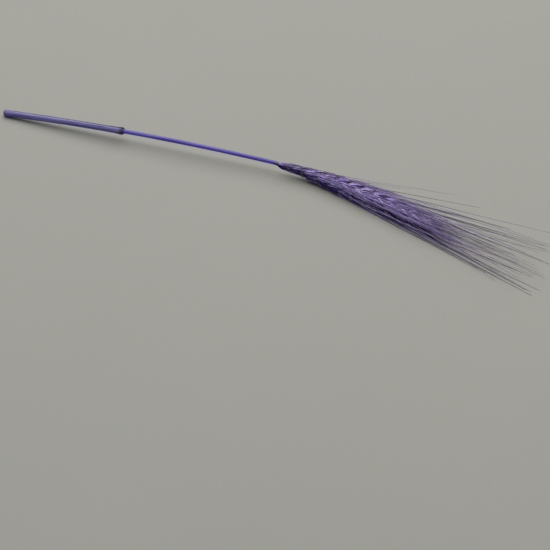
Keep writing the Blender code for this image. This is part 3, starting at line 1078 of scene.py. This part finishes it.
@dataclass
class Husks(Piece):
    """All husks of one kind in the ear, in one mesh."""

    node: str = "ear"
    form: HuskForm = None
    stand: Stand = None
    tint_shift: float = 0.0

    def skin(self) -> Skin:
        """Each husk as one closed tube: its ring runs along the outer wall and back along the inner one.

        Returns:
            The husks' mesh.
        """
        form = self.form
        t = 0.5 - 0.5 * np.cos(np.pi * np.linspace(0.05, 0.965, form.rings))[:, None]
        if form.inner:
            turn = np.concatenate([np.linspace(-1, 1, form.outer), np.linspace(1, -1, form.inner)]) * form.wrap
            layer = np.repeat([1.0, form.inner_wall], [form.outer, form.inner])
        else:
            turn = full_circle(form.outer) - np.pi
            layer = np.ones(form.outer)
        points, grain = form.surface(self.stand, t, turn[None], layer[None])
        keel_up_for_painted_light = unit(self.stand.keel)[:, 2]
        tint_and_painted_light = 0.36 + 0.32 * vary(self.stand.key[:, 0], self.stand.key[:, 1], 9)
        # Painted light and shade: husks whose keel faces up get a higher value here, so more dye and bloom and a
        # lighter look; those facing down come out darker.
        tint_and_painted_light = np.clip(tint_and_painted_light + 0.7 * keel_up_for_painted_light + self.tint_shift, 0, 1)[:, None, None]
        margin = smooth((np.abs(turn) / form.wrap - 0.8) / 0.2) if form.inner else 0.0 * turn
        # Painted shade along the bottom of the grooves between veins, carried as negative values in the third
        # mark.
        groove = (0.5 - 0.5 * form.veined(turn)) * smooth((layer - 0.9) / 0.1)
        wear_and_groove_shade = (margin - groove * (1.0 - margin))[None, None]
        made = Skin()
        made.tubes(points, grain, stacked(t[None], tint_and_painted_light, wear_and_groove_shade))
        return made


@dataclass
class Rachis(Piece):
    """The ear's flattened, zigzag axis: each joint widens upwards to the ledge that bears a spikelet."""

    name: str = "rachis"
    node: str = "ear"
    plan: EarPlan = None
    half_width: float = 0.85 * MM
    half_depth: float = 0.5 * MM
    start_radius: float = 0.95 * MM
    zigzag: float = 0.3 * MM
    ledge: float = 0.28 * MM
    marks: tuple[float, float, float] = (0.3, 0.4, 0.0)
    per_joint: int = 9
    sides: int = 20

    def skin(self) -> Skin:
        """One tube whose oval section swells to a ledge at each joint and swings from side to side.

        The swing is the zigzag times a cosine that has opposite signs at neighbouring joints. The ledge is the
        fifth power of the share of the way from one joint to the next.

        Returns:
            The rachis's mesh.
        """
        plan = self.plan
        joint = np.linspace(-0.45, plan.count - 0.6, int(plan.count * self.per_joint))
        s = plan.first + joint * (plan.length - plan.first) / (plan.count - 1)
        s[0] = 0.0
        way = joint - np.floor(joint)
        swell = self.ledge * np.where((joint > 0) & (joint < plan.count - 1), way ** 5, 0.0)[:, None]
        size = plan.size(np.clip(joint / (plan.count - 1), 0, 1))[:, None]
        _, row, face = plan.frames(s)
        centre = plan.spine.points(s) + row * col(self.zigzag * np.cos(np.pi * joint) * smooth(joint + 0.45))
        turn = full_circle(self.sides)
        neck = smooth(joint / 2.5 + 0.2)[:, None]
        slim = mix(0.85, 1.0, (size - plan.neck_size) / (1 - plan.neck_size))
        slim = slim * (1 - 0.4 * smooth((joint[:, None] - 20) / 3))
        wide = mix(self.start_radius, self.half_width * slim + swell, neck) * np.cos(turn)
        deep = mix(self.start_radius, self.half_depth * slim + swell, neck) * np.sin(turn)
        made = Skin()
        made.tubes(ringed(centre, face, row, wide, deep)[None], stacked(s[:, None], wide, deep)[None] / MM,
                   self.marks)
        return made


@dataclass
class AwnPlan:
    """The awns' lines: each leaves with its husk's lean, swings nearly parallel to the ear, off the floor."""

    plan: EarPlan
    stands: list[tuple[Stand, HuskForm, float]]
    length: float = 84 * MM
    bend: float = 0.07
    turn: float = 0.3
    neck_turn: float = 0.75
    fan: float = np.radians(5.5)
    spread: tuple[float, float] = (np.radians(-4.0), np.radians(11.0))
    swerve: float = np.radians(42.0)
    neck_length: float = 0.6
    tip_length: float = 0.7
    foot_radius: float = 0.27 * MM
    mid_radius: float = 0.145 * MM
    tip_radius: float = 0.045 * MM
    clearance: float = 0.05 * MM
    lift: float = 0.8 * MM
    sway: float = 0.5 * MM
    overlap: float = 0.9 * MM
    reach_varies: float = 0.08
    lowest_share: float = 0.35
    lowest_to: float = 4.0

    def __post_init__(self) -> None:
        """Works out where each awn starts, how long it grows and where it heads."""
        self.key = np.concatenate([stand.key for stand, _, _ in self.stands])
        self.number = own_number(self.key)
        i, b = self.key[:, 0].astype(int), self.key[:, 1]
        self.along = np.concatenate([stand.along for stand, _, _ in self.stands])
        self.keel = np.concatenate([stand.keel for stand, _, _ in self.stands])
        self.start = np.concatenate([stand.tips(form.length) for stand, form, _ in self.stands])
        self.size = self.plan.scale[i]
        share = self.plan.share[i]
        low = mix(self.neck_length, 1.0, smooth(share / self.plan.full_from))
        high = mix(1.0, self.tip_length, smooth((share - self.plan.lean_from) / (1.0 - self.plan.lean_from)))
        part = np.concatenate([np.full(len(stand.key), part) for stand, _, part in self.stands])
        self.reach = self.length * low * high * part * (1 + self.reach_varies * vary(i, b, 4))
        self.reach = self.reach * mix(self.lowest_share, 1.0, smooth(i / self.lowest_to))
        turn = mix(self.neck_turn, self.turn, smooth(share / self.plan.neck_to))
        ahead = unit(mix(self.plan.ahead[i], self.plan.tipwards, col(turn)))
        outwards = self.start - self.plan.centre[i]
        outwards = unit(outwards - dot(outwards, ahead) * ahead)
        swerve = col(self.swerve * vary(i, b, 1))
        outwards = outwards * np.cos(swerve) + np.cross(ahead, outwards) * np.sin(swerve)
        spread = mix(*self.spread, 0.5 + 0.5 * vary(i, b, 2)) + self.fan * np.maximum(outwards[:, 1], 0.0)
        self.end = self.start + unit(ahead + outwards * col(np.tan(spread))) * col(self.reach)
        self.middle = self.start + self.along * col(self.bend * self.reach)

    def radius(self, t: Array) -> Array:
        """The awn's radius: it tapers from the foot to the middle, then to a fine tip."""
        foot = mix(self.foot_radius, self.mid_radius, smooth(t / 0.4))
        return mix(foot, self.tip_radius, np.clip((t - 0.4) / 0.6, 0.0, 1.0)) * self.size[:, None] ** 0.5

    def points(self, t: Array) -> Array:
        """Points along every awn.

        An awn is a quadratic Bezier curve from its husk's tip, with a slow sway that grows along it, held off the
        floor: its height over the floor becomes half the sum of itself and the root of its square plus a lift.

        Args:
            t: shares of the way, of shape (stations,). Just below 0 they reach back into the husk.

        Returns:
            The points, of shape (awns, stations, 3).
        """
        k = self.number[:, None]
        t = np.broadcast_to(t, (len(k), np.shape(t)[-1]))
        start, middle, end = (part[:, None] for part in (self.start, self.middle, self.end))
        curve = start * col((1 - t) ** 2) + middle * col(2 * t * (1 - t)) + end * col(t ** 2)
        keel = unit(self.keel)
        across = np.cross(self.plan.tipwards, keel)
        sway = self.sway * np.maximum(t, 0.0)
        curve = curve + col(sway * wander(4.0 * t, k)) * keel[:, None]
        curve = curve + col(sway * wander(5.0 * t, k + 0.3)) * across[:, None]
        floor = mix(0.3 * MM, 0.12 * MM, t) + self.clearance
        over = curve[..., 2] - floor
        curve[..., 2] = floor + (over + np.sqrt(over ** 2 + (self.lift * t) ** 2)) / 2
        return curve

    def frames(self, t: Array) -> tuple[Array, Array, Array]:
        """The directions along every awn.

        Args:
            t: shares of the way, of shape (stations,) or (awns, stations).

        Returns:
            The way it runs, and two ways across it that are right-handed about it.
        """
        ahead = unit(self.points(t + 0.004) - self.points(t - 0.004))
        keel = self.keel[:, None] - ahead * dot(self.keel[:, None], ahead)
        first = unit(keel)
        return ahead, first, np.cross(ahead, first)


@dataclass
class Wisps(Piece):
    """The short, fine bristles that glumes and lower florets bear, which lie along the ear and streak it."""

    name: str = "wisps"
    node: str = "ear"
    finish: Finish = AWN_FINISH
    plan: EarPlan = None
    sources: list[tuple[Stand, HuskForm]] = None
    copies: int = 5
    length: tuple[float, float] = (9.0 * MM, 30.0 * MM)
    radius: tuple[float, float] = (0.10 * MM, 0.03 * MM)
    spread: float = np.radians(5.0)
    start: tuple[float, float] = (0.55, 0.97)
    sway: float = 0.12 * MM
    clearance: float = 0.12 * MM
    stations: int = 9
    sides: int = 4

    def lines(self, stand: Stand, form: HuskForm, row: Array, copy: Array,
              k: Array) -> tuple[Array, Array, Array]:
        """The wisps' middle lines.

        A wisp is a quadratic Bezier curve. It starts on the husk's keel, at a share of the husk's length, leaves
        along the husk and ends along the ear, a little off it, with a slow wander on its way.

        Args:
            stand: where the husks stand.
            form: the husks' form.
            row: the husk that bears each wisp.
            copy: which of its husk's wisps it is.
            k: a number that is its own.

        Returns:
            The lines, of shape (wisps, stations, 3), the way each keeps off the ear, and its length.
        """
        share = mix(*self.start, 0.5 + 0.5 * vary(k, copy, 31))
        on = form.surface(stand, np.linspace(0.0, 1.0, 41)[:, None], np.array([[0.0]]), np.array([[1.0]]))[0]
        foot = on[row, np.rint(40 * share).astype(int), 0]
        ahead = self.plan.ahead[stand.spikelet[row]]
        off = stand.keel[row] - ahead * dot(stand.keel[row], ahead)
        aside = unit(off + np.cross(ahead, off) * col(0.9 * vary(k, copy, 32)))
        length = col(mix(*self.length, 0.5 + 0.5 * vary(k, copy, 33)) * stand.scale[row])
        lift = np.tan(self.spread * (0.3 + vary(k, copy, 34)))
        end = foot + unit(ahead + aside * col(lift)) * length
        middle = foot + unit(stand.along[row] + 0.6 * ahead) * length * 0.4
        t = np.linspace(0.0, 1.0, self.stations)[None, :, None]
        line = foot[:, None] * (1 - t) ** 2 + middle[:, None] * 2 * t * (1 - t) + end[:, None] * t ** 2
        line = line + aside[:, None] * self.sway * wander(5.0 * t, col(k)[:, None]) * t
        return above_floor(line, self.clearance), aside, length

    def skin(self) -> Skin:
        """Thin, tapering tubes along those lines.

        Returns:
            The wisps' mesh.
        """
        made = Skin()
        t = np.linspace(0.0, 1.0, self.stations)[None, :, None]
        turn = full_circle(self.sides)
        radius = mix(*self.radius, t)
        x, y = radius * np.cos(turn), radius * np.sin(turn)
        for use, (stand, form) in enumerate(self.sources):
            row = np.repeat(np.arange(len(stand.scale)), self.copies)
            copy = np.tile(np.arange(self.copies), len(stand.scale))
            own = stand.number[row] + 101.0 * use
            line, aside, length = self.lines(stand, form, row, copy, own)
            forth = unit(np.gradient(line, axis=1))
            first = unit(np.cross(forth, aside[:, None]))
            lattice = ringed(line, first, np.cross(forth, first), x, y)
            k = own[:, None, None]
            grain = stacked(t * length[:, None] / MM + 13.0 * k, 5.0 * k + np.cos(turn), np.sin(turn))
            # Painted light and shade: wisps that turn up get a higher value here and come out lighter, those that
            # turn down darker.
            tint_and_painted_light = np.clip(0.4 + 0.4 * vary(own, copy, 35) + 0.5 * aside[:, 2], 0.0, 1.0)[:, None, None]
            made.tubes(lattice, grain, stacked(0.9 * t, tint_and_painted_light, 0.0))
        return made


@dataclass
class Awns(Piece):
    """The beard: long, stiff bristles of rounded three-cornered section, each drawn out to a fine point."""

    name: str = "awns"
    node: str = "ear"
    finish: Finish = AWN_FINISH
    plan: AwnPlan = None
    stations: int = 46
    sides: int = 6
    corner: float = 0.16

    def skin(self) -> Skin:
        """Each awn as one closed tube, from inside its husk's tip. Its radius swells at three corners.

        Returns:
            The awns' mesh.
        """
        plan = self.plan
        reach = plan.reach[:, None]
        t = mix(-plan.overlap / reach, 1.0, np.linspace(0.0, 1.0, self.stations) ** 1.15)
        turn = full_circle(self.sides)
        radius = plan.radius(t)[..., None] * (1.0 + self.corner * np.cos(3.0 * turn))
        x, y = radius * np.cos(turn), radius * np.sin(turn)
        _, first, second = plan.frames(t)
        k = plan.number[:, None, None]
        grain = stacked((t * reach)[..., None] / MM + 11.0 * k, x / MM + 4.0 * k, y / MM)
        tint_and_painted_light = 0.5 + 0.5 * vary(plan.key[:, 0], plan.key[:, 1], 9)[:, None, None]
        marks = stacked(np.clip(t, 0, 1)[..., None], tint_and_painted_light, 0.0)
        made = Skin()
        made.tubes(ringed(plan.points(t), first, second, x, y), grain, marks)
        return made


@dataclass
class Barbs(Piece):
    """The tiny teeth along the three corners of every awn, which point to its tip and soften its edge."""

    name: str = "awn_barbs"
    node: str = "ear"
    finish: Finish = AWN_FINISH
    plan: AwnPlan = None
    per_corner: int = 52
    length: float = 0.42 * MM
    foot: float = 0.045 * MM
    rake: float = np.radians(24.0)

    def skin(self) -> Skin:
        """Spikes set a little apart by chance along each corner, leaning out from the awn by the rake.

        Returns:
            The barbs' mesh.
        """
        plan = self.plan
        count = 3 * self.per_corner
        step = np.arange(count)[None]
        k = plan.number[:, None]
        t = (step + 0.5 + 0.45 * vary(k, step, 1)) / count * 0.95 + 0.02
        turn = FULL_TURN * (step % 3) / 3 + 0.2 * vary(k, step, 2)
        ahead, first, second = plan.frames(t)
        outwards = first * col(np.cos(turn)) + second * col(np.sin(turn))
        base = plan.points(t) + outwards * col(0.8 * plan.radius(t))
        size = self.length * mix(1.0, 0.6, t) * (1.0 + 0.3 * vary(k, step, 3))
        rake = self.rake * (1.0 + 0.3 * vary(k, step, 4))
        tip = base + ahead * col(size * np.cos(rake)) + outwards * col(size * np.sin(rake))
        grain = stacked(t * plan.reach[:, None] / MM, 3.0 * k, 0.0)
        marks = stacked(t, 0.5 + 0.5 * vary(k, step, 5), 0.0)
        made = Skin()
        made.spikes(base, tip, self.foot * (1.0 - 0.4 * t), grain, marks)
        return made


@dataclass
class Hairs(Piece):
    """The short hairs of the ear: tufts at the foot of every spikelet and teeth up the keel of every husk."""

    name: str = "ear_hairs"
    node: str = "ear"
    plan: EarPlan = None
    glumes: Husks = None
    lemmas: Husks = None
    tuft: int = 44
    tuft_length: float = 1.1 * MM
    keel_teeth: int = 26
    tooth: float = 0.32 * MM
    foot: float = 0.04 * MM

    def tufts(self, made: Skin) -> None:
        """Adds the tufts: hairs from a short arc round each spikelet's foot, leaning up along it and outwards.

        Args:
            made: the mesh to add them to.
        """
        plan = self.plan
        i, j = (part.ravel() for part in np.meshgrid(plan.number, np.arange(self.tuft), indexing="ij"))
        sweep = 1.5 * vary(i, j, 11)
        around = plan.edgeways[i] * col(np.sin(sweep)) + plan.outwards[i] * col(np.cos(sweep))
        base = plan.centre[i] + around * col((0.55 + 0.15 * vary(i, j, 12)) * MM) - plan.ahead[i] * col(0.2 * MM)
        heading = unit(plan.ahead[i] * 1.0 + around * col(0.75 + 0.35 * vary(i, j, 13)))
        tip = base + heading * col(self.tuft_length * plan.scale[i] * (0.8 + 0.35 * vary(i, j, 14)))
        made.spikes(base, tip, self.foot, stacked(j, i, 0.0), stacked(0.5, 0.5 + 0.5 * vary(i, j, 15), 0.5))

    def teeth(self, made: Skin, husks: Husks, turns: tuple[float, ...]) -> None:
        """Adds teeth along lines of a constant turn on every husk, raked towards its tip.

        Args:
            made: the mesh to add them to.
            husks: the husks that bear them.
            turns: the angles of those lines from the keel.
        """
        t = np.linspace(0.42, 0.97, self.keel_teeth)[:, None]
        turn = np.array(turns)[None]
        layer = np.ones_like(turn)
        base, grain = husks.form.surface(husks.stand, t, turn, layer)
        outer = husks.form.surface(husks.stand, t, turn, 1.25 * layer)[0]
        out = unit(outer - base)
        k = husks.stand.key.sum(axis=1)[:, None, None]
        size = self.tooth * (1.0 + 0.35 * vary(k, t * 100, turn))
        tip = base + husks.stand.along[:, None, None] * col(size) + out * col(0.5 * size)
        made.spikes(base - out * 0.02 * MM, tip, self.foot, grain, stacked(t[None], 0.6, 0.3))

    def skin(self) -> Skin:
        """The tufts and the teeth together, in one mesh."""
        made = Skin()
        self.tufts(made)
        self.teeth(made, self.glumes, (0.0,))
        self.teeth(made, self.lemmas, (-0.9, 0.0, 0.9))
        return made


@dataclass
class Studio:
    """The pale surface, the wide soft light over the ear, and the camera at the photograph's angle."""

    azimuth: float = np.radians(24.0)
    elevation: float = np.radians(40.0)
    distance: float = 1.1
    field: float = np.radians(13.348)
    aim_right: float = 3.60 * MM
    aim_up: float = -38.31 * MM
    floor_size: float = 6.0
    floor_colour: Colour = (0.270, 0.264, 0.232)
    sky: Colour = (0.80, 0.86, 1.0)
    sky_strength: float = 0.20
    key_power: float = 46.5
    key_size: float = 2.6
    key_distance: float = 1.5
    key_azimuth: float = np.radians(200.0)
    key_elevation: float = np.radians(66.0)
    mottle: float = 9.0
    mottle_depth: float = 0.95
    floor_roughness: float = 0.75

    @staticmethod
    def basis(azimuth: float, elevation: float) -> tuple[Array, Array, Array]:
        """The directions of a view.

        Args:
            azimuth: 0 looks along +Y, and it grows as the viewer goes round towards +X.
            elevation: the angle above the horizon.

        Returns:
            Its right, its up, and the way back to the viewer.
        """
        level = np.cos(elevation)
        back = np.array([np.sin(azimuth) * level, -np.cos(azimuth) * level, np.sin(elevation)])
        right = np.array([np.cos(azimuth), np.sin(azimuth), 0.0])
        return right, np.cross(back, right), back

    def place(self, thing: bpy.types.Object, azimuth: float, elevation: float, distance: float,
              target: Array) -> None:
        """Sets a camera or light to face a target from a direction and a distance.

        Args:
            thing: the camera or light.
            azimuth: the direction it looks from, as in a view.
            elevation: how far above the horizon it is.
            distance: how far from the target.
            target: the point that it faces.
        """
        right, up, back = self.basis(azimuth, elevation)
        turned = Matrix(np.column_stack([right, up, back]).tolist()).to_4x4()
        thing.matrix_world = Matrix.Translation((target + back * distance).tolist()) @ turned
        bpy.context.scene.collection.objects.link(thing)

    def camera(self) -> None:
        """Makes the camera."""
        right, up, _ = self.basis(self.azimuth, self.elevation)
        lens = bpy.data.cameras.new("camera")
        lens.angle = self.field
        lens.clip_start = 0.01
        made = bpy.data.objects.new("camera", lens)
        self.place(made, self.azimuth, self.elevation, self.distance, right * self.aim_right + up * self.aim_up)
        bpy.context.scene.camera = made

    def lights(self) -> None:
        """Makes the large soft key light and the even sky that fills the shadows."""
        lamp = bpy.data.lights.new("key", "AREA")
        lamp.shape = "DISK"
        lamp.size = self.key_size
        lamp.energy = self.key_power
        made = bpy.data.objects.new("key", lamp)
        self.place(made, self.key_azimuth, self.key_elevation, self.key_distance, np.zeros(3))
        world = bpy.data.worlds.new("sky")
        world.use_nodes = True
        world.node_tree.nodes["Background"].inputs["Color"].default_value = (*self.sky, 1.0)
        world.node_tree.nodes["Background"].inputs["Strength"].default_value = self.sky_strength
        bpy.context.scene.world = world

    def floor(self) -> None:
        """Makes the pale surface, with a faint mottle of its own."""
        half = self.floor_size / 2
        corners = [(-half, -half, 0.0), (half, -half, 0.0), (half, half, 0.0), (-half, half, 0.0)]
        mesh = bpy.data.meshes.new("floor")
        mesh.from_pydata(corners, [], [(0, 1, 2, 3)])
        bath = Bath("pale_surface")
        place = bath.node("TexCoord", {}).outputs["Object"]
        mottle = bath.noise(place, (self.mottle, self.mottle, self.mottle), 4.0)
        darker = tuple(self.mottle_depth * part for part in self.floor_colour)
        bath.tree.links.new(bath.blend(mottle, darker, self.floor_colour), bath.shader.inputs["Base Color"])
        bath.shader.inputs["Roughness"].default_value = self.floor_roughness
        mesh.materials.append(bath.material)
        made = bpy.data.objects.new("floor", mesh)
        bpy.context.scene.collection.objects.link(made)

    def build(self) -> None:
        """Makes the camera, the lights and the floor."""
        self.camera()
        self.lights()
        self.floor()
        bpy.context.scene.view_settings.view_transform = "Standard"


GLUME_FORM = HuskForm(8.8 * MM, 1.45 * MM, 1.0 * MM, wrap=np.radians(118.0), roundness=1.35, back=0.5, veins=3)
LEMMA_FORM = HuskForm(10.4 * MM, 1.45 * MM, 1.4 * MM, wrap=np.radians(125.0), roundness=1.7, neck=0.15)
PALEA_FORM = HuskForm(9.2 * MM, 1.25 * MM, 1.0 * MM, wrap=np.pi, roundness=1.8, veins=2, outer=28, inner=0,
                      vein_height=0.12 * MM)
FURROW_FORM = HuskForm(8.4 * MM, 1.15 * MM, 1.0 * MM, wrap=np.radians(115.0), roundness=1.4, veins=3, neck=0.1)
INNER_FORM = HuskForm(8.8 * MM, 1.35 * MM, 1.2 * MM, wrap=np.pi, roundness=1.7, outer=40, inner=0, neck=0.15)


def main() -> None:
    """Builds the ear, its straw and sheath and the studio."""
    logging.basicConfig(level=logging.INFO, format="%(name)s: %(message)s")
    spine = Spine()
    straw = Straw(spine)
    sheath = LeafSheath(spine, straw=straw)
    plan = EarPlan(spine)
    glumes = Husks(spine, "glumes", form=GLUME_FORM, stand=plan.glumes(), tint_shift=-0.06)
    lemmas = Husks(spine, "lemmas", form=LEMMA_FORM, stand=plan.florets())
    paleas = Husks(spine, "paleas", form=PALEA_FORM, stand=plan.florets(), tint_shift=-0.2)
    inner = Husks(spine, "inner_florets", form=INNER_FORM, stand=plan.inner_florets(), tint_shift=-0.1)
    furrow = Husks(spine, "furrow_husks", form=FURROW_FORM, stand=plan.furrow_husks(), tint_shift=0.1)
    lines = AwnPlan(plan, [(lemmas.stand, LEMMA_FORM, 1.0), (inner.stand, INNER_FORM, 0.8)])
    sources = [(glumes.stand, GLUME_FORM), (lemmas.stand, LEMMA_FORM), (furrow.stand, FURROW_FORM)]
    pieces = [
        straw, sheath, Ligule(spine, sheath=sheath), Rachis(spine, plan=plan), glumes, lemmas, paleas, inner,
        furrow, Wisps(spine, plan=plan, sources=sources), Awns(spine, plan=lines), Barbs(spine, plan=lines),
        Hairs(spine, plan=plan, glumes=glumes, lemmas=lemmas)]
    for piece in pieces:
        piece.build()
    Studio().build()


if __name__ == "__main__":
    main()
